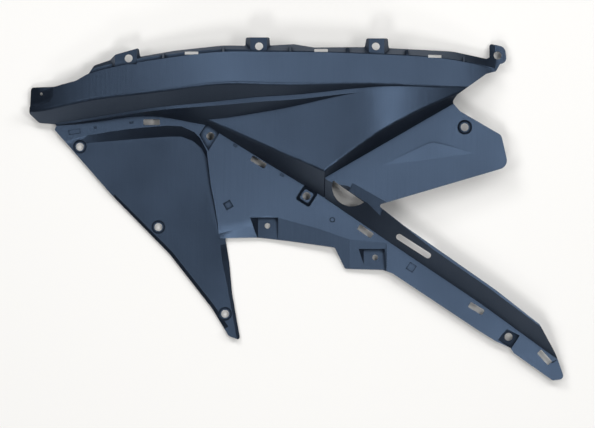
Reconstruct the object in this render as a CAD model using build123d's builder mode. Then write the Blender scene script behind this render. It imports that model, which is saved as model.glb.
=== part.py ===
from build123d import *
from collections import namedtuple
import math
import os

# Inner fairing panel of a motorbike: one moulded sheet of plastic, lying face up.
# X runs along the panel, Y across it and Z up from the floor, in millimetres.
# The moulding is what lies between two forms: the one under its face, and the one under its back,
# which is the same form moved in by the wall. Its crests are rounded on the face alone.

# Driving dimensions
wall = 2.5
plate_rise = 12.9
plate_tilt_x = 0.0645
plate_tilt_y = 0.1247
plate_past_rail = 14.0
corner_rise = 4.5
skirt_fall = 0.6
skirt_run = 14.0
band_pitch = 0.23
flank_pitch = 1.2
strip_fall = 0.5
sheet_fall = 0.05
wing_rise = 38.0
wing_tilt_x = -0.0687
wing_tilt_y = -0.0448
wing_flank_pitch = 1.5
arch_climb = 0.045
dip_fall = 0.45
lip_rise = 35.0
crest_r = 4.0
sheet_r = 3.8

# Holes, seats and slots
screw_r = 4.0
seat_r = 6.8
seat_sink = 2.0
wing_seat_r = 7.4
wing_seat_sink = 4.6
collar_r = 5.2
collar_high = 1.3
small_r = 2.8
pin_r = 1.5
slot_wide = 5.8
slot_long = 16.5
slot_r = 1.2
vent_wide = 3.0
vent_long = 13.5
hatch_wide = 6.0
hatch_long = 40.2

# Tabs, gussets and marks
rib = 2.0
tab_thick = 3.0
tab_top = 48.5
tab_side = 8.0
tab_side_pitch = 1.6
mark_sink = 0.8

# How far the forms run on past the panel before its outline trims them
reach = 420.0
deep = 40.0
tall = 130.0

# Stations along the top band: Y of its top edge, of its crest, of the foot of the flank under the crest
# and of the narrow strip below that; height of the crest; pitch of the flank under the strip; height of
# the flange beyond the top edge, width of its level shelf, and how steeply it falls beyond the shelf;
# height of the flat sheet beside the strip.
Station = namedtuple("Station", "x edge crest foot strip crest_z pitch flange_z shelf fall sheet_z")
stations = [
    Station(-273, 119, 98.5, 79, 77, 15, 1.5, 4, 4, 0.3, None),
    Station(-237, 124, 102.9, 86.6, 85, 30, 1.5, 16, 4, 0.6, None),
    Station(-197, 138.4, 110.7, 92.7, 90.3, 40.5, 3.0, 26, 4, 0.8, None),
    Station(-147, 147.9, 116.4, 100.5, 97.7, 52, 3.6, 36, 4, 1.3, 13),
    Station(-92, 155.2, 123.4, 106.1, 102.4, 61.5, 1.25, 46, 3.2, 1.5, 25.5),
    Station(-38, 156.4, 124.6, 111.6, 106.8, 66, 1.25, 50, 2, 1.5, 38),
    Station(21, 156, 124.4, 115.9, 111.5, 65.5, 1.25, 51, 1.2, 1.5, 51),
    Station(79, 154.1, 124.7, 121.1, 117, 58.5, 1.25, 49, 1, 1.5, 55),
    Station(115, 152.6, 123, 120.5, 117, 51, 1.25, 39, 1, 1.5, 49.7),
    Station(158, 148.6, 121, 118.5, 115, 38.5, 1.25, 25, 1, 1.1, 37.8),
    Station(208, 135.5, 119, 116.5, 113, 16, 1.25, 7, 1, 0.25, 15.4),
]

# The rail: X and Y of the lower edge of its wall, and the pitch of the wall
Rail = namedtuple("Rail", "x y pitch")
rail_line = [
    Rail(-130, 108, 1.45),
    Rail(-78, 76, 1.45),
    Rail(-28.4, 45, 1.45),
    Rail(21.4, 15, 1.4),
    Rail(28, 10.6, 1.3),
    Rail(38, 3.8, 0.97),
    Rail(60.1, -11.2, 0.88),
    Rail(125.4, -55.4, 1.15),
    Rail(183, -94, 1.15),
    Rail(244.2, -138.4, 1.2),
    Rail(290, -171, 1.2),
]
rail_across = Vector(0.552, 0.834, 0)

# The fold where the lower edge of the plate turns down: X, Y and how steeply it falls
Fold = namedtuple("Fold", "x y fall")
fold_line = [
    Fold(-79, -16, 0.15),
    Fold(-28.4, -6.1, 0.3),
    Fold(19, -19, 0.3),
    Fold(53, -30.5, 0.3),
    Fold(89.7, -34, 0.3),
]

# The lower corner lies below the plate. X and Y of the foot of its rim, then of the edge above that foot.
Rim = namedtuple("Rim", "foot_x foot_y edge_x edge_y")
corner_rim = [
    Rim(-250, 62, -250, 66.5),
    Rim(-201.3, 66.9, -201.3, 75.2),
    Rim(-155.4, 70.7, -155.4, 81.6),
    Rim(-128.6, 72.6, -128.6, 83.5),
    Rim(-115.8, 72.6, -115.8, 82.9),
    Rim(-104.3, 68.2, -103, 77.1),
    Rim(-95.4, 60.5, -96.7, 70.7),
    Rim(-90.5, 51, -90.3, 58),
    Rim(-87, 23.7, -86.4, 23.7),
    Rim(-80, -15.5, -79.4, -15.5),
    Rim(-78.4, -30.2, -77.8, -30.2),
    Rim(-40, -30.2, -40, -30.2),
    Rim(-40, -150, -40, -150),
    Rim(-250, -150, -250, -150),
]

# Where the edges of the lower corner turn down: X and Y along each fold, with the outside on its right
Point = namedtuple("Point", "x y")
right_skirt = [Point(-60.3, -131), Point(-69.3, -81), Point(-75, -53), Point(-76.9, -36)]
left_skirt = [Point(-183, 14.6), Point(-125.4, -43), Point(-83, -97), Point(-69, -118)]

# The outline in plan, clockwise from the left end: X, Y and radius of each corner
Corner = namedtuple("Corner", "x y r")
left_end = [Corner(-266.9, 121.8, 3), Corner(-244, 122.4, 8), Corner(-221, 128.2, 12)]
top_edge = [
    Corner(-208.5, 135.5, 6), Corner(-203, 143.6, 3), Corner(-187.2, 148.9, 3), Corner(-181.5, 154.2, 4),
    Corner(-158.3, 160.8, 1.5), Corner(-156.7, 152.2, 1), Corner(-122, 158.1, 80), Corner(-73.4, 163.1, 80),
    Corner(-51.6, 162.8, 1), Corner(-51, 171, 1.5), Corner(-27.4, 171, 1.5), Corner(-27, 163.1, 1),
    Corner(-3, 164.5, 8), Corner(17, 161, 8), Corner(67.5, 161.5, 1), Corner(69.3, 170, 1.5),
    Corner(90.6, 170, 1.5), Corner(91.6, 160.6, 1), Corner(156, 157.8, 60), Corner(190, 150.4, 1),
]
end_tab = [Corner(193, 152, 0.5), Corner(193, 166, 2.5), Corner(208.6, 162.4, 7), Corner(210.6, 146.5, 6)]
tip = [Corner(203.6, 145.4, 1), Corner(199.5, 138, 2), Corner(189.5, 135.3, 3), Corner(160, 114.2, 3),
       Corner(155, 107, 4), Corner(163, 97.8, 8)]
wing = [Corner(204.5, 73.8, 7), Corner(211.6, 42.4, 9), Corner(80.7, 3.9, 2)]
arm = [
    Corner(106, -16, 20), Corner(198.3, -80.6, 60), Corner(242.5, -115.3, 6), Corner(259.5, -145.5, 60),
    Corner(268.4, -170.4, 4), Corner(256.5, -172, 3), Corner(217.5, -144.5, 1), Corner(214.3, -139.4, 2),
    Corner(199.5, -132.7, 6), Corner(183, -122.5, 40), Corner(96, -64.7, 8), Corner(86.3, -61.2, 3),
]
lower_edge = [
    Corner(48.2, -60, 2.5), Corner(37.8, -38.7, 3), Corner(-7, -32.4, 60), Corner(-40, -28.6, 80),
    Corner(-72, -29.3, 0.8),
]
corner_edge = [
    Corner(-68, -54, 20), Corner(-65.3, -84, 30), Corner(-57, -131.8, 2), Corner(-68.6, -127.4, 4),
    Corner(-85.3, -99.8, 30), Corner(-127.6, -45.5, 60), Corner(-183.7, 11.6, 60), Corner(-243.3, 79.5, 2),
    Corner(-240.9, 84.8, 1.5), Corner(-258.5, 86.3, 6), Corner(-268.2, 95.5, 4),
]
outline = left_end + top_edge + end_tab + tip + wing + arm + lower_edge + corner_edge

# Screw tabs on the top flange: X and Y of the hole, height of the pad, and where the pad starts and ends
Tab = namedtuple("Tab", "x y top x_from x_to")
side_tabs = [
    Tab(-168.3, 150.6, 33, -182, -160),
    Tab(-37.8, 162.3, tab_top, -46.5, -30),
    Tab(78.7, 162.3, tab_top, 71.5, 87),
]
last_tab = Tab(201.2, 154, 9.8, 198.5, 212)
gussets = [-133.4, -73.4, -6.7, 50.5, 109.7, 167]

# Round holes, and slots with the angle that each is turned by
corner_screws = [(-218, 62.5), (-139.2, -18.1), (-72.2, -105.2)]
wing_screw = (167.8, 81.8)
middle_screw = (9.7, 13)
pad_screws = [(-86.8, 73), (212.2, -128.3)]
small_holes = [(-29.7, -16.9), (78.3, -48.6)]
bracket_pin = (-256.5, 115.2)
slots = [(-145.7, 87, 0), (-38.5, 47, -31), (68.5, -22.4, -34), (179.8, -99.8, -31), (248.3, -148.8, -48)]
hatch = (116.6, -37.2, -32.7)
vents = [-105.2, 24, 137.8]
half_moon = [(36, 28.5), (43.5, 6.2), (67, 6.8)]

# Shallow marks in the face of the plate: X, Y, length, width and angle; and the middle of a ring
marks = [
    (-62, 63.6, 4.2, 2.6, -31), (-15, 34, 4.2, 2.6, -31), (114.5, -58.5, 8, 8, -33), (-223.2, 77.5, 12, 5, 8),
    (-202.3, 81.6, 2.6, 2.2, 8), (-166, 86.6, 4, 2.2, 8), (257.5, -153, 5.5, 1.2, 30),
]
ring_mark = (35.4, -10.8)

# The faint arch on the wing, from left to right: inside it the face is hinged up about its two ends
arch = [
    Point(87, 43.6), Point(99, 50.4), Point(130.9, 65.4), Point(136.9, 66.6), Point(147.8, 64.2),
    Point(178, 55.7),
]


def plate_z(x, y):
    """Height of the face of the base plate."""
    return plate_rise + plate_tilt_x * x + plate_tilt_y * y


def wing_z(x, y):
    """Height of the face of the wing."""
    return wing_rise + wing_tilt_x * (x - 42) + wing_tilt_y * (y - 39.3)


def sloped(x, y, z, slope_x, slope_y):
    """The plane through a point that climbs by slope_x along X and by slope_y along Y."""
    return Plane(origin=(x, y, z), x_dir=(1, 0, slope_x), z_dir=(-slope_x, -slope_y, 1))


def hinged(a, b, height, climb, tilt_x=0.0, tilt_y=0.0):
    """A tilted face turned about the line from a to b: it climbs to the left of that line."""
    left = Vector(a.y - b.y, b.x - a.x, 0).normalized()
    return sloped(a.x, a.y, height, tilt_x + climb * left.X, tilt_y + climb * left.Y)


plate = sloped(0, 0, plate_rise, plate_tilt_x, plate_tilt_y)
wing_face = sloped(42, 39.3, wing_rise, wing_tilt_x, wing_tilt_y)
wing_flank = Plane(origin=(42, 39.3, wing_rise),
                   z_dir=Vector(0.498, -0.867, 0) * wing_flank_pitch + Vector(0.075, 0.04, 1))
arm_lip = sloped(105, -16, lip_rise, -0.032, 0.023)


def station_at(x):
    """The top band between two of its stations: Y and Z of its edge, and height of the flange there."""
    a, b = next((a, b) for a, b in zip(stations, stations[1:]) if x <= b.x)
    part = (x - a.x) / (b.x - a.x)
    edge, crest, crest_z, flange_z = [
        getattr(a, name) * (1 - part) + getattr(b, name) * part
        for name in ("edge", "crest", "crest_z", "flange_z")
    ]
    return edge, crest_z - band_pitch * (edge - crest), flange_z


def mitre(pitch):
    """Sideways shift that leaves one wall of thickness where a level face turns into a flank."""
    return wall * math.tan(math.atan(pitch) / 2)


def lean(pitch):
    """Sideways shift that leaves one wall of thickness on a flank."""
    return wall / math.sin(math.atan(pitch))


def upright(x, outline):
    """A closed outline in Y and Z, standing at one station."""
    return Face(Wire.make_polygon([Vector(x, y, z) for y, z in outline], close=True))


def band_section(s, inset):
    level, aside = inset * wall, inset * mitre(flank_pitch)
    edge_z = s.crest_z - band_pitch * (s.edge - s.crest)
    foot_z = s.crest_z - flank_pitch * (s.crest - s.foot)
    strip_z = foot_z - strip_fall
    toe = s.strip - (strip_z + deep) / s.pitch + inset * lean(s.pitch)
    return upright(s.x, [
        (s.edge - level, -deep),
        (s.edge - level, edge_z + band_pitch * level - level),
        (s.crest + aside, s.crest_z - level),
        (s.foot + aside, foot_z - level),
        (s.strip + inset * mitre(s.pitch), strip_z - level),
        (toe, -deep),
    ])


def sheet_section(s, inset):
    y, z, far = s.crest + inset * mitre(flank_pitch), s.sheet_z - inset * wall, -reach / 2
    return upright(s.x, [(y, -deep), (y, z), (far, z - sheet_fall * (y - far)), (far, -deep)])


def flange_section(s, inset):
    root, z = s.edge - 8, s.flange_z - inset * wall
    shelf = s.edge + s.shelf
    toe = shelf + (s.flange_z + deep) / s.fall
    return upright(s.x, [
        (root, -deep), (root, z), (shelf - inset * mitre(s.fall), z), (toe - inset * lean(s.fall), -deep),
    ])


def rail_section(r, inset):
    z, back = plate_z(r.x, r.y), inset * lean(r.pitch)
    low, high = back - (z + deep) / r.pitch, back + (tall - z) / r.pitch
    corners = [(low, -deep), (reach, -deep), (reach, tall), (high, tall)]
    return Face(Wire.make_polygon([Vector(r.x, r.y, h) + rail_across * a for a, h in corners], close=True))


def fold_section(f, inset):
    aside = 0 if f is fold_line[0] else inset * wall
    x, y, z = f.x + aside, f.y + inset * mitre(f.fall), plate_z(f.x, f.y) - inset * wall
    return upright(x, [(y, z), (y, tall), (-reach, tall), (-reach, z - f.fall * (y + reach))])


def rim_section(height):
    """The boundary of the lower corner at one height: its rim flares as it rises."""
    points = []
    for r in corner_rim:
        up = (height - corner_rise) / max(plate_z(r.edge_x, r.edge_y) - corner_rise, 1.5)
        x, y = r.foot_x + (r.edge_x - r.foot_x) * up, r.foot_y + (r.edge_y - r.foot_y) * up
        points.append(Vector(x, y, height))
    return Face(Wire.make_polygon(points, close=True))


def slab(plane, inset=0, x_from=-reach, x_to=reach, y_from=-reach, y_to=reach):
    """All that lies under a plane, within a box in plan."""
    with BuildPart() as under:
        with BuildSketch(Plane.XY.offset(-deep)):
            with Locations(((x_from + x_to) / 2, (y_from + y_to) / 2)):
                Rectangle(x_to - x_from, y_to - y_from)
        extrude(amount=deep + tall)
        split(bisect_by=plane.offset(-inset * wall), keep=Keep.BOTTOM)
    return under.part


def sunk(profile, floor, inset=0):
    """A recess with upright walls: all that lies over a floor, within a profile in plan."""
    with BuildPart() as over:
        with BuildSketch(Plane.XY.offset(-deep)):
            add(profile)
            if inset:
                offset(amount=inset * wall, kind=Kind.INTERSECTION)
        extrude(amount=deep + tall)
        split(bisect_by=floor.offset(-inset * wall), keep=Keep.TOP)
    return over.part


def raised(profile, top, root):
    """A pad with upright walls between a root, inside the wall that carries it, and its top."""
    with BuildPart() as pad:
        with BuildSketch(Plane.XY.offset(-deep)):
            add(profile)
        extrude(amount=deep + tall)
        split(bisect_by=top, keep=Keep.BOTTOM)
        split(bisect_by=root, keep=Keep.TOP)
    return pad.part


def plan(*points):
    """A straight-sided profile in plan."""
    with BuildSketch() as profile:
        with BuildLine():
            Polyline(*points, close=True)
        make_face()
    return profile.sketch


def disc(x, y, r):
    with BuildSketch() as profile:
        with Locations((x, y)):
            Circle(r)
    return profile.sketch


def block(x, y, long, wide, turn=0.0, r=0.0):
    with BuildSketch() as profile:
        with Locations(Location((x, y, 0), (0, 0, turn))):
            if r:
                RectangleRounded(long, wide, r)
            else:
                Rectangle(long, wide)
    return profile.sketch


def notch(x_left, x_right, slant, y_top, floor_z, inset):
    """A recess that runs out through the lower edge: its left wall slants, its right wall stands."""
    left, right = x_left - inset * wall, x_right + inset * wall
    top, floor_z = y_top + inset * wall, floor_z - inset * wall
    with BuildPart() as recess:
        with BuildSketch(Plane.XZ.offset(-top)):
            with BuildLine():
                Polyline((left, floor_z), (right, floor_z), (right, tall),
                         (left - slant * tall, floor_z + tall), close=True)
            make_face()
        extrude(amount=reach)
    return recess.part


def skirt(fold, inset):
    """Strips that fall away on the right of a fold in the floor of the lower corner."""
    outs = [Vector(b.y - a.y, a.x - b.x, 0).normalized() for a, b in zip(fold, fold[1:])]
    mitres = [(a + b).normalized() for a, b in zip(outs[:1] + outs, outs + outs[-1:])]
    found = []
    for a, b, out_a, out_b in zip(fold, fold[1:], mitres, mitres[1:]):
        strip = plan((a.x, a.y), (b.x, b.y), (b.x + skirt_run * out_b.X, b.y + skirt_run * out_b.Y),
                     (a.x + skirt_run * out_a.X, a.y + skirt_run * out_a.Y))
        found.append(sunk(strip, hinged(a, b, corner_rise, skirt_fall), inset))
    return found


def recesses(inset):
    """Every recess that shows on both sides of the moulding."""
    v_pad = plan((-91.6, 84.3), (-98.1, 74.5), (-88.8, 58.2), (-78.1, 75.5), (-78.1, 76.9), (-90.2, 84.8))
    arm_pad = plan((209.8, -120), (201.5, -131.4), (214.9, -140), (223.4, -127))
    bracket = plan((-300, 140), (-244.1, 140), (-244.1, 122.1), (-244.3, 112.7), (-248.1, 107.1),
                   (-263, 102.5), (-300, 101))
    dip = [Point(55.5, 26), Point(90, 6.5)]
    dip_plan = plan((dip[0].x, dip[0].y), (dip[1].x, dip[1].y), (82, -9), (47.5, 10))
    found = [
        sunk(v_pad, plate.offset(-3), inset),
        sunk(block(*middle_screw, 16.4, 17, -33, 2.5), plate.offset(-7), inset),
        sunk(arm_pad, sloped(205.6, -125.7, plate_z(205.6, -125.7), -0.16, 0.34), inset),
        sunk(bracket, sloped(-255, 112, 11, 0.5, 0), inset),
        sunk(block(-69, 4, 8, 8, 30), plate.offset(-2), inset),
        sunk(disc(*wing_screw, wing_seat_r), Plane.XY.offset(wing_z(*wing_screw) - wing_seat_sink), inset),
        sunk(dip_plan, hinged(*dip, wing_z(*dip[0]), dip_fall, wing_tilt_x, wing_tilt_y), inset),
        notch(-39, -19, 1.4, -8.5, 3.2, inset),
        notch(67, 88, 1.2, -40, 6, inset),
    ]
    for x, y in corner_screws:
        found.append(sunk(disc(x, y, seat_r), Plane.XY.offset(corner_rise - seat_sink), inset))
    return found + skirt(right_skirt, inset) + skirt(left_skirt, inset)


def crests(shape):
    """The edges where a nearly level face turns down into a flank."""
    found = []
    for edge in shape.edges():
        beside = [f for f in shape.faces() if any(edge.is_same(e) for e in f.edges())]
        slopes = sorted(f.normal_at(edge.center()).Z for f in beside)
        if len(slopes) == 2 and 0.2 < slopes[0] < 0.85 and slopes[1] > 0.9:
            found.append(edge)
    return found


def corner_floor(inset):
    """The flat floor of the lower corner."""
    with BuildPart() as floor:
        with BuildSketch(Plane.XY.offset(-deep)):
            add(plan(*[(r.edge_x, r.edge_y) for r in corner_rim]))
        extrude(amount=deep + corner_rise - inset * wall)
    return floor.part


def form(inset):
    """The solid under the face, or for an inset of one, the solid under the back of the moulding."""
    grow = Pos(1.35 * wall * inset, 1.35 * wall * inset, 0)
    with BuildPart() as rail:
        loft(sections=[rail_section(r, inset) for r in rail_line], ruled=True)
    with BuildPart() as band:
        loft(sections=[band_section(s, inset) for s in stations])
        if not inset:
            fillet(band.edges().filter_by(lambda e: e.length > reach).sort_by(Axis.Z)[-1], crest_r)
        add(slab(wing_flank, inset), mode=Mode.INTERSECT)
    with BuildPart() as upper:
        loft(sections=[sheet_section(s, inset) for s in stations if s.sheet_z])
        add(rail.part, mode=Mode.INTERSECT)
        add(slab(wing_flank, inset), mode=Mode.INTERSECT)
        if not inset:
            fillet(crests(upper.part), sheet_r)
    with BuildPart() as lower:
        add(slab(wing_face, inset, x_from=28, y_to=108))
        add(slab(arm_lip, inset, x_from=80 - inset, y_to=4 + inset))
        add(rail.part, mode=Mode.INTERSECT)
    with BuildPart() as base:
        add(slab(plate, inset, x_from=-243))
        edge = Vector(60.1, -11.2, 0) + rail_across * plate_past_rail
        split(bisect_by=Plane(origin=edge, z_dir=rail_across), keep=Keep.BOTTOM)
        loft(sections=[fold_section(f, inset) for f in fold_line], ruled=True, mode=Mode.SUBTRACT)
    with BuildPart() as corner:
        loft(sections=[rim_section(-deep / 2), rim_section(tall / 3)], ruled=True)
    with BuildPart() as flange:
        loft(sections=[flange_section(s, inset) for s in stations])
    with BuildPart() as whole:
        add(base.part)
        add(grow * corner.part, mode=Mode.SUBTRACT)
        add([grow * corner_floor(inset), band.part, upper.part, lower.part, flange.part])
        add(recesses(inset), mode=Mode.SUBTRACT)
    return whole.part


# The outline in plan trims the moulding
with BuildPart() as trim:
    with BuildSketch(Plane.XY.offset(-deep)):
        with BuildLine():
            FilletPolyline([(c.x, c.y) for c in outline], radius=[c.r for c in outline], close=True)
        make_face()
    extrude(amount=deep + tall)

# What is let into the face alone, and the room over the tabs
with BuildPart() as cuts:
    for tab in side_tabs + [last_tab]:
        edge, _, _ = station_at(tab.x)
        with BuildSketch(Plane.XY.offset(tab.top)):
            with Locations(((tab.x_from + tab.x_to) / 2, edge + 15.4)):
                Rectangle(tab.x_to - tab.x_from, 30)
        extrude(amount=tall - tab.top)
    for x, y, long, wide, turn in marks:
        add(sunk(block(x, y, long, wide, turn), plate.offset(-mark_sink)))
    with BuildSketch(Plane.XY.offset(-deep)) as ring:
        with Locations(ring_mark):
            RegularPolygon(small_r, 10)
            RegularPolygon(small_r - 1, 10, mode=Mode.SUBTRACT)
    add(sunk(ring.sketch, plate.offset(-mark_sink)))

# What is added to the shell: tabs, gussets, collars round the holes and the pad in the middle recess
with BuildPart() as extras:
    for tab in side_tabs:
        edge, _, _ = station_at(tab.x)
        out, low = tab_side / tab_side_pitch, tab.top - tab_side
        with BuildSketch(Plane.XZ.offset(-edge + 1)):
            with BuildLine():
                Polyline((tab.x_from - out, low), (tab.x_from, tab.top),
                         (tab.x_to, tab.top), (tab.x_to + out, low),
                         (tab.x_to + out, low - tab_thick), (tab.x_to, tab.top - tab_thick),
                         (tab.x_from, tab.top - tab_thick), (tab.x_from - out, low - tab_thick),
                         close=True)
            make_face()
        extrude(amount=-30)
    edge, _, _ = station_at(last_tab.x)
    with BuildSketch(Plane.XY.offset(last_tab.top)):
        with Locations(((last_tab.x_from + last_tab.x_to) / 2, edge + 14)):
            Rectangle(last_tab.x_to - last_tab.x_from, 30)
    extrude(amount=-tab_thick)
    for x in gussets:
        edge, edge_z, flange_z = station_at(x)
        with BuildSketch(Plane.YZ.offset(x)):
            with BuildLine():
                Polyline((edge - 1, edge_z - 1), (edge + 1, edge_z - 1), (edge + 6, flange_z),
                         (edge + 6, flange_z - 7), (edge - 1, flange_z - 7), close=True)
            make_face()
        extrude(amount=rib / 2, both=True)
    for x, y in corner_screws:
        seat = Plane.XY.offset(corner_rise - seat_sink)
        add(raised(disc(x, y, collar_r), seat.offset(collar_high), seat.offset(-wall / 2)))
    seat = Plane.XY.offset(wing_z(*wing_screw) - wing_seat_sink)
    add(raised(disc(*wing_screw, collar_r), seat.offset(2 * collar_high), seat.offset(-wall / 2)))
    add(raised(block(*middle_screw, 10.4, 11, -33, 2), plate.offset(-3), plate.offset(-7 - wall / 2)))
    arch_face = hinged(arch[0], arch[-1], wing_z(*arch[0]), arch_climb, wing_tilt_x, wing_tilt_y)
    add(raised(plan(*[(p.x, p.y) for p in arch]), arch_face, wing_face.offset(-wall / 2)))

# Every hole and slot goes straight through
with BuildPart() as holes:
    with BuildSketch(Plane.XY.offset(-deep)):
        with Locations(*[(tab.x, tab.y) for tab in side_tabs + [last_tab]], *pad_screws, *corner_screws,
                       wing_screw, middle_screw):
            Circle(screw_r)
        with Locations(*small_holes):
            Circle(small_r)
        with Locations(bracket_pin):
            Circle(pin_r)
        for x, y, turn in slots:
            add(block(x, y, slot_long, slot_wide, turn, slot_r))
        for x in vents:
            add(block(x, station_at(x)[0] + vent_wide / 2 + 0.6, vent_long, vent_wide))
        with BuildLine():
            Line(*half_moon[::2])
            ThreePointArc(half_moon[2], half_moon[1], half_moon[0])
        make_face()
        with Locations(Location((hatch[0], hatch[1], 0), (0, 0, hatch[2]))):
            SlotOverall(hatch_long, hatch_wide)
    extrude(amount=deep + tall)

with BuildPart() as panel:
    add(form(0))
    add([form(1), cuts.part], mode=Mode.SUBTRACT)
    add(extras.part)
    add(trim.part, mode=Mode.INTERSECT)
    add(holes.part, mode=Mode.SUBTRACT)

# The origin comes under the middle of the panel, on the floor that it lies on
box = panel.part.bounding_box()
with BuildPart() as inner_fairing_panel:
    with Locations((-box.center().X, -box.center().Y, -box.min.Z)):
        add(panel.part)
inner_fairing_panel.part.label = "inner_fairing_panel"
os.makedirs("parts", exist_ok=True)
export_step(inner_fairing_panel.part, "parts/inner_fairing_panel.step")
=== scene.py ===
import math

import bmesh
import bpy
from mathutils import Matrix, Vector


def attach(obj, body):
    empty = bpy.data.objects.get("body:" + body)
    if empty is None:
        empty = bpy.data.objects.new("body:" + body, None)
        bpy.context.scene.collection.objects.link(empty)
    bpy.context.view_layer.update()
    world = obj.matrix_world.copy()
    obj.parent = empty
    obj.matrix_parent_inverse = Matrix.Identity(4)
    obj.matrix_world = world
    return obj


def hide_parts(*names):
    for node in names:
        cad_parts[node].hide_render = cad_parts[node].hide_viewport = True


# Sizes in metres
EDGE_ROUND = 0.0004
SAME_POINT = 0.00001
CREASE_REACH = 0.005
FLOOR_REACH = 6.0

# Camera, in metres: its height above the level at which the picture is as wide as PICTURE_WIDTH
CAMERA_HEIGHT = 6.0
PICTURE_LEVEL = 0.03
PICTURE_WIDTH = 0.595
PICTURE_MIDDLE = (0.00107, -0.00457)
SENSOR_WIDTH_MM = 36.0

# Angles in degrees: facets are merged below the first and edges rounded above the second
MERGE_ANGLE = 0.5
ROUND_ANGLE = 30.0

# Angles in degrees below which normals blend, at the faces of a rounded edge and between plain faces
SOFT_ANGLE = 38.0
FACE_ANGLE = 20.0

# A level patch: its least area in square metres, its greatest turns in degrees, from face to face and
# from a face to the whole patch, and its weight in the normals beside it
LEVEL_AREA = 0.00004
LEVEL_STEP = 0.4
LEVEL_SPREAD = 0.6
LEVEL_WEIGHT = 8.0

# A patch belongs to a curve where more than this share of its rim turns by less than these degrees
GENTLE_SHARE = 0.5
GENTLE_TURN = 8.0

# Colours of the plastic: two shades, the tint of the drag lines, a painted highlight on rounded edges,
# painted shade in creases and gloss
DEEP_SHADE = (0.0068, 0.0092, 0.0145, 1.0)
PALE_SHADE = (0.0092, 0.0125, 0.0195, 1.0)
LINE_SHADE = (0.86, 0.88, 0.9, 1.0)
NO_SHADE = (1.0, 1.0, 1.0, 1.0)
EDGE_HIGHLIGHT_COLOUR = (0.09, 0.115, 0.15, 1.0)
CREASE_SHADE_COLOUR = (0.004, 0.005, 0.008, 1.0)
GLOSS_TINT = (0.43, 0.64, 1.0, 1.0)

# Strengths of the plastic's finish and of its painted edge highlight, and its roughness where it is
# glossiest and dullest and in the creases with painted shade
GLOSS_LEVEL = 0.78
LINE_AMOUNT = 0.7
EDGE_HIGHLIGHT_AMOUNT = 0.4
SATIN_ROUGHNESS = (0.28, 0.4)
CREASE_ROUGHNESS = 0.9

# Scales of the noise: the grain, the clouds, and the drag lines, which are finest along X
GRAIN = 2600.0
CLOUDS = 9.0
DRAG_LINES = (430.0, 24.0, 24.0)

# Sockets of a Mix node, whose names repeat: its amount, its two numbers, its two colours and its results
MIX_AMOUNT = 0
MIX_NUMBERS = (2, 3)
MIX_COLOURS = (6, 7)
NUMBER_RESULT = 0
COLOUR_RESULT = 2

FLOOR_COLOUR = (0.86, 0.85, 0.83, 1.0)
ROOM_COLOUR = (0.92, 0.95, 1.0, 1.0)
LAMP_AIM = (0.0, 0.0, 0.0)

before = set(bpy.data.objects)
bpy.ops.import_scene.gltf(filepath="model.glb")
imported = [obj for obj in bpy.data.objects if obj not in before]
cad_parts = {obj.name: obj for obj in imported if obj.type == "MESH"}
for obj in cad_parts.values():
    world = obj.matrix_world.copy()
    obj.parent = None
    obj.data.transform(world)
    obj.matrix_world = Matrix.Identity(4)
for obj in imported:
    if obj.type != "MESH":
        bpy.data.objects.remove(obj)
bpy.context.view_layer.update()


def node_input(node, name, value):
    """Set a socket of a node by its name."""
    node.inputs[name].default_value = value


def ramp(tree, value, low, high, colours):
    """A colour that runs from one to another as a value goes from low to high."""
    node = tree.nodes.new("ShaderNodeValToRGB")
    node.color_ramp.elements[0].position = low
    node.color_ramp.elements[1].position = high
    node.color_ramp.elements[0].color = colours[0]
    node.color_ramp.elements[1].color = colours[1]
    tree.links.new(value, node.inputs["Fac"])
    return node.outputs["Color"]


def noise(tree, place, scale, detail):
    """Noise on the object's own coordinates."""
    node = tree.nodes.new("ShaderNodeTexNoise")
    node_input(node, "Scale", scale)
    node_input(node, "Detail", detail)
    node_input(node, "Roughness", 0.55)
    tree.links.new(place, node.inputs["Vector"])
    return node.outputs["Fac"]


def ranged(tree, value, given, made):
    """A value moved from the given range to the one that is made."""
    node = tree.nodes.new("ShaderNodeMapRange")
    node_input(node, "From Min", given[0])
    node_input(node, "From Max", given[1])
    node_input(node, "To Min", made[0])
    node_input(node, "To Max", made[1])
    tree.links.new(value, node.inputs["Value"])
    return node.outputs["Result"]


def tinted(tree, under, colour, amount):
    """A colour with another one laid over it where the amount is high."""
    node = tree.nodes.new("ShaderNodeMix")
    node.data_type = "RGBA"
    node.inputs[MIX_COLOURS[1]].default_value = colour
    tree.links.new(amount, node.inputs[MIX_AMOUNT])
    tree.links.new(under, node.inputs[MIX_COLOURS[0]])
    return node.outputs[COLOUR_RESULT]


def bump(tree, height, strength, distance):
    """Relief that follows a height."""
    node = tree.nodes.new("ShaderNodeBump")
    node_input(node, "Strength", strength)
    node_input(node, "Distance", distance)
    tree.links.new(height, node.inputs["Height"])
    return node


def painted_crease_shade(tree):
    """Painted shade in creases and at the feet of walls, from occlusion: 1 where it is darkest and 0 in the
    open.
    """
    crease = tree.nodes.new("ShaderNodeAmbientOcclusion")
    crease.samples = 8
    crease.only_local = True
    node_input(crease, "Distance", CREASE_REACH)
    return ranged(tree, crease.outputs["AO"], given=(0.55, 0.93), made=(1.0, 0.0))


def edge_highlight(tree):
    """How much painted highlight a place gets: the faces of rounded edges get it, and the others don't."""
    edges = tree.nodes.new("ShaderNodeAttribute")
    edges.attribute_name = "rounded_edge"
    amount = tree.nodes.new("ShaderNodeMath")
    amount.operation = "MULTIPLY"
    amount.inputs[1].default_value = EDGE_HIGHLIGHT_AMOUNT
    tree.links.new(edges.outputs["Fac"], amount.inputs[0])
    return amount.outputs["Value"]


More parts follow.
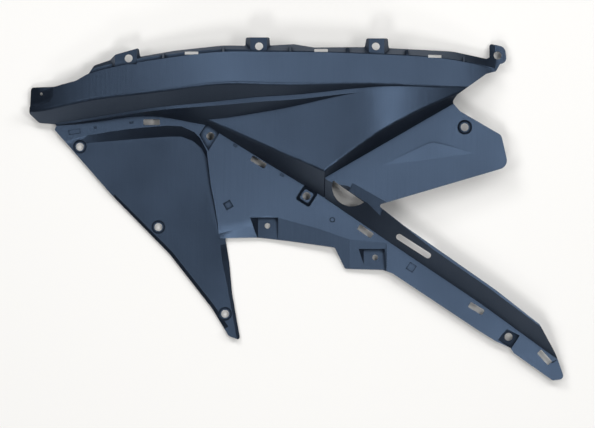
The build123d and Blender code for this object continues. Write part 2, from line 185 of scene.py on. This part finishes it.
def plastic_colour(tree, cloud, streaks, crease_shade):
    """Two clouded shades with faint drag lines, with a painted highlight on rounded edges and painted shade
    in creases.
    """
    shades = ramp(tree, cloud, low=0.35, high=0.7, colours=(DEEP_SHADE, PALE_SHADE))
    lines = ramp(tree, streaks, low=0.42, high=0.62, colours=(LINE_SHADE, NO_SHADE))
    lined = tree.nodes.new("ShaderNodeMix")
    lined.data_type = "RGBA"
    lined.blend_type = "MULTIPLY"
    lined.inputs[MIX_AMOUNT].default_value = LINE_AMOUNT
    tree.links.new(shades, lined.inputs[MIX_COLOURS[0]])
    tree.links.new(lines, lined.inputs[MIX_COLOURS[1]])
    # Painted highlight: the faces of rounded edges are made paler
    edge_lit = tinted(tree, lined.outputs[COLOUR_RESULT], EDGE_HIGHLIGHT_COLOUR, edge_highlight(tree))
    # Painted shade: creases and the feet of walls are made darker
    return tinted(tree, edge_lit, CREASE_SHADE_COLOUR, crease_shade)


def plastic_roughness(tree, cloud, crease_shade):
    """Satin that varies with the clouds, and is dull in the creases that get painted shade."""
    satin = ranged(tree, cloud, given=(0.3, 0.7), made=SATIN_ROUGHNESS)
    dull = tree.nodes.new("ShaderNodeMix")
    dull.inputs[MIX_NUMBERS[1]].default_value = CREASE_ROUGHNESS
    tree.links.new(crease_shade, dull.inputs[MIX_AMOUNT])
    tree.links.new(satin, dull.inputs[MIX_NUMBERS[0]])
    return dull.outputs[NUMBER_RESULT]


def plastic_relief(tree, grain, streaks):
    """The grain of the mould, with the drag lines under it."""
    lines_bump = bump(tree, streaks, strength=0.15, distance=0.0004)
    grain_bump = bump(tree, grain, strength=0.22, distance=0.0002)
    tree.links.new(lines_bump.outputs["Normal"], grain_bump.inputs["Normal"])
    return grain_bump.outputs["Normal"]


def moulded_plastic(name):
    """Blue-black satin plastic: fine grain, faint drag lines from the mould, a painted highlight on rounded
    edges and painted shade in creases.
    """
    material = bpy.data.materials.new(name)
    material.use_nodes = True
    tree = material.node_tree
    tree.nodes.clear()
    out = tree.nodes.new("ShaderNodeOutputMaterial")
    shader = tree.nodes.new("ShaderNodeBsdfPrincipled")
    tree.links.new(shader.outputs["BSDF"], out.inputs["Surface"])
    node_input(shader, "Specular IOR Level", GLOSS_LEVEL)
    node_input(shader, "IOR", 1.5)
    node_input(shader, "Specular Tint", GLOSS_TINT)

    place = tree.nodes.new("ShaderNodeTexCoord").outputs["Object"]
    grain = noise(tree, place, scale=GRAIN, detail=2.0)
    cloud = noise(tree, place, scale=CLOUDS, detail=3.0)
    stretch = tree.nodes.new("ShaderNodeMapping")
    node_input(stretch, "Scale", DRAG_LINES)
    tree.links.new(place, stretch.inputs["Vector"])
    streaks = noise(tree, stretch.outputs["Vector"], scale=1.0, detail=1.0)

    # Painted shade in creases, which also dulls the roughness there
    crease_shade = painted_crease_shade(tree)
    tree.links.new(plastic_colour(tree, cloud, streaks, crease_shade), shader.inputs["Base Color"])
    tree.links.new(plastic_roughness(tree, cloud, crease_shade), shader.inputs["Roughness"])
    tree.links.new(plastic_relief(tree, grain, streaks), shader.inputs["Normal"])
    return material


def cosine(angle):
    """The cosine of an angle in degrees."""
    return math.cos(math.radians(angle))


def level_patches(mesh, pairs):
    """Join neighbouring faces that are level with each other into patches, and number each face's patch."""
    faces = mesh.polygons
    owner = list(range(len(faces)))

    def top(index):
        while owner[index] != index:
            owner[index] = owner[owner[index]]
            index = owner[index]
        return index

    level = cosine(LEVEL_STEP)
    for first, second in pairs.values():
        if faces[first].normal.dot(faces[second].normal) > level:
            owner[top(first)] = top(second)
    patches = {}
    for face in faces:
        patches.setdefault(top(face.index), []).append(face)
    return patches, [top(index) for index in range(len(faces))]


def patch_rims(mesh, pairs, patch_of):
    """The length of each patch's rim, and of the part of it that turns gently."""
    faces = mesh.polygons
    gentle = cosine(GENTLE_TURN)
    rim, gentle_rim = {}, {}
    for (a, b), (first, second) in pairs.items():
        sides = {patch_of[first], patch_of[second]}
        if len(sides) == 2:
            length = (mesh.vertices[a].co - mesh.vertices[b].co).length
            soft = length if faces[first].normal.dot(faces[second].normal) > gentle else 0.0
            for patch in sides:
                rim[patch] = rim.get(patch, 0.0) + length
                gentle_rim[patch] = gentle_rim.get(patch, 0.0) + soft
    return rim, gentle_rim


def level_normals(mesh, pairs):
    """One normal for all the faces of a level patch: the faces of a curve get none."""
    patches, patch_of = level_patches(mesh, pairs)
    rim, gentle_rim = patch_rims(mesh, pairs, patch_of)
    spread = cosine(LEVEL_SPREAD)
    normals = {}
    for number, patch in patches.items():
        small = sum(face.area for face in patch) < LEVEL_AREA
        if small or gentle_rim[number] > GENTLE_SHARE * rim[number]:
            continue
        normal = sum((face.normal * face.area for face in patch), Vector()).normalized()
        if min(face.normal.dot(normal) for face in patch) > spread:
            for face in patch:
                normals[face.index] = normal
    return normals


def moulded_normals(mesh):
    """Level faces keep one normal each, and every curve and rounded edge turns smoothly into them."""
    beside, around = {}, {}
    for face in mesh.polygons:
        for key in face.edge_keys:
            beside.setdefault(key, []).append(face.index)
        for corner in face.vertices:
            around.setdefault(corner, []).append(face.index)
    pairs = {key: faces for key, faces in beside.items() if len(faces) == 2}
    level = level_normals(mesh, pairs)
    turned = cosine(SOFT_ANGLE)
    bent = cosine(FACE_ANGLE)
    normals = []
    for face in mesh.polygons:
        own = level.get(face.index)
        for corner in face.vertices:
            if own:
                normals.append(own)
                continue
            mean = Vector()
            for index in around[corner]:
                other = mesh.polygons[index]
                limit = turned if face.material_index or other.material_index else bent
                if other.normal.dot(face.normal) > limit:
                    weight = LEVEL_WEIGHT if index in level else 1.0
                    mean += level.get(index, other.normal) * other.area * weight
            normals.append(mean.normalized() if mean.length else face.normal)
    mesh.normals_split_custom_set(normals)


def merged_mesh(node, name):
    """A copy of a node's mesh, whole and with its level facets merged."""
    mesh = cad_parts[node].data.copy()
    mesh.name = name
    shape = bmesh.new()
    shape.from_mesh(mesh)
    bmesh.ops.remove_doubles(shape, verts=shape.verts, dist=SAME_POINT)
    limit = math.radians(MERGE_ANGLE)
    bmesh.ops.dissolve_limit(shape, angle_limit=limit, verts=shape.verts, edges=shape.edges)
    for face in shape.faces:
        face.smooth = True
    for edge in shape.edges:
        edge.smooth = True
    shape.to_mesh(mesh)
    shape.free()
    if "custom_normal" in mesh.attributes:
        mesh.attributes.remove(mesh.attributes["custom_normal"])
    return mesh


def rounded_copy(node, name, plastic):
    """The moulded panel again, with its edges softened as a mould leaves them, and their faces marked for a
    painted highlight.
    """
    mesh = merged_mesh(node, name)
    piece = bpy.data.objects.new(name, mesh)
    bpy.context.scene.collection.objects.link(piece)
    edge = piece.modifiers.new("edge", "BEVEL")
    edge.width = EDGE_ROUND
    edge.segments = 2
    edge.limit_method = "ANGLE"
    edge.angle_limit = math.radians(ROUND_ANGLE)
    edge.use_clamp_overlap = True

    # The faces of the rounding take the second slot, which tells them from the plain faces
    edge.material = 1
    mesh.materials.clear()
    for slot_plastic in (plastic, plastic):
        mesh.materials.append(slot_plastic)
    graph = bpy.context.evaluated_depsgraph_get()
    made = bpy.data.meshes.new_from_object(piece.evaluated_get(graph))
    piece.modifiers.clear()
    piece.data = made
    made.name = name
    moulded_normals(made)
    # Faces of rounded edges are marked for the painted highlight
    rounded_edge = made.attributes.new("rounded_edge", "FLOAT", "FACE")
    for face in made.polygons:
        rounded_edge.data[face.index].value = float(face.material_index)
        face.material_index = 0
    made.materials.clear()
    made.materials.append(plastic)
    return piece


panel_plastic = moulded_plastic("panel_plastic")
panel = rounded_copy("inner_fairing_panel", "moulded_panel", panel_plastic)
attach(panel, "root")
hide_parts("inner_fairing_panel")

# Floor
reach = FLOOR_REACH
floor_corners = [(-reach, -reach, 0), (reach, -reach, 0), (reach, reach, 0), (-reach, reach, 0)]
floor_mesh = bpy.data.meshes.new("floor")
floor_mesh.from_pydata(floor_corners, [], [(0, 1, 2, 3)])
floor = bpy.data.objects.new("floor", floor_mesh)
bpy.context.scene.collection.objects.link(floor)
floor_paint = bpy.data.materials.new("floor_paint")
floor_paint.use_nodes = True
floor_shader = floor_paint.node_tree.nodes["Principled BSDF"]
node_input(floor_shader, "Base Color", FLOOR_COLOUR)
node_input(floor_shader, "Roughness", 0.9)
node_input(floor_shader, "Specular IOR Level", 0.1)
floor_mesh.materials.append(floor_paint)


def softbox(name, place, size, power):
    """A rectangular soft white light that looks at the middle: metres and watts."""
    lamp = bpy.data.lights.new(name, "AREA")
    lamp.shape = "RECTANGLE"
    lamp.size = size[0]
    lamp.size_y = size[1]
    lamp.energy = power
    holder = bpy.data.objects.new(name, lamp)
    holder.location = place
    holder.rotation_euler = (Vector(LAMP_AIM) - Vector(place)).to_track_quat("-Z", "Y").to_euler()
    bpy.context.scene.collection.objects.link(holder)


softbox("top", place=(0.16, 1.22, 2.16), size=(2.0, 0.5), power=18.3)
softbox("window", place=(-0.84, 1.59, 1.74), size=(0.9, 0.6), power=13.0)
softbox("front", place=(-0.20, -0.95, 2.28), size=(0.5, 0.5), power=13.8)
softbox("low_front", place=(0.10, -1.55, 1.65), size=(0.9, 0.4), power=4.5)
softbox("right", place=(0.76, 0.0, 2.30), size=(0.5, 0.5), power=13.5)
softbox("low_right", place=(1.50, 0.95, 1.65), size=(0.9, 0.9), power=9.5)
softbox("left", place=(-1.02, 0.12, 2.20), size=(0.6, 0.6), power=9.2)

# Room: a faint cool light from all round
world = bpy.data.worlds.new("room")
bpy.context.scene.world = world
world.use_nodes = True
room = world.node_tree.nodes["Background"]
node_input(room, "Color", ROOM_COLOUR)
node_input(room, "Strength", 0.04)

# Camera straight above, with the origin at the same place in the picture as in the photograph
camera_data = bpy.data.cameras.new("camera")
camera = bpy.data.objects.new("camera", camera_data)
bpy.context.scene.collection.objects.link(camera)
camera_data.sensor_width = SENSOR_WIDTH_MM
camera_data.lens = SENSOR_WIDTH_MM * CAMERA_HEIGHT / PICTURE_WIDTH
camera_data.clip_start = 0.05
camera_data.clip_end = 20.0
camera.location = (*PICTURE_MIDDLE, PICTURE_LEVEL + CAMERA_HEIGHT)
camera.rotation_euler = (0.0, 0.0, 0.0)
bpy.context.scene.camera = camera
bpy.context.scene.view_settings.view_transform = "Standard"
